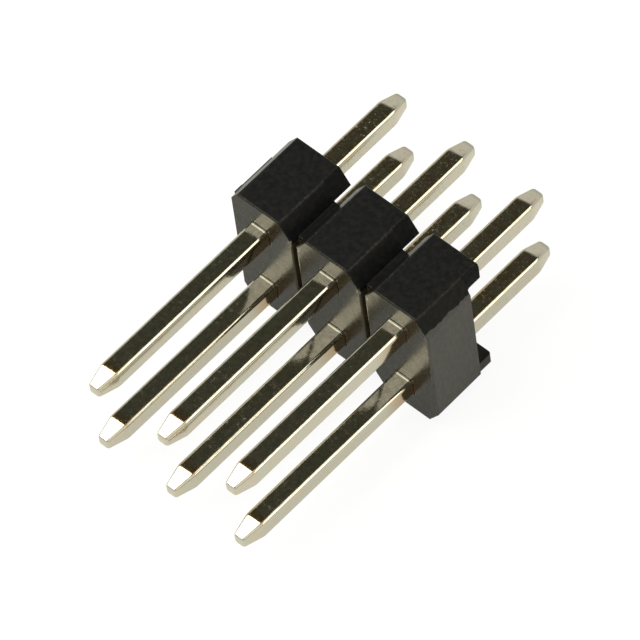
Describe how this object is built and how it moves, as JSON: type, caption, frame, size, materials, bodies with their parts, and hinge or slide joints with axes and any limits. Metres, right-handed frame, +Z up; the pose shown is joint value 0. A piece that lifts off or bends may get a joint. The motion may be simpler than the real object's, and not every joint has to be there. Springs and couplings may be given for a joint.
{
  "type": "male pin header",
  "caption": "Straight male pin header: a black moulded strip of bevelled break-away cells with stand-off pads, holding rows of square plated pins tapered at both ends.",
  "frame": {"origin": "on the insulator's underside, below the middle of the pin grid, midway between the mating face and the seating pads", "axes": "the header lies on its side: +X along the columns, +Y along the pins towards the solder tails, +Z up from the lower row to the upper row"},
  "size_m": [0.0075, 0.0126, 0.0048],
  "materials": {
    "insulator": "black moulded plastic with a faint sheen, matte where it was cut",
    "pins": "bright pale plating with faint pits and drawing marks"
  },
  "bodies": {
    "root": {"insulator": "insulator", "pin_a1": "pins", "pin_a2": "pins", "pin_a3": "pins", "pin_b1": "pins", "pin_b2": "pins", "pin_b3": "pins"}
  },
  "joints": []
}
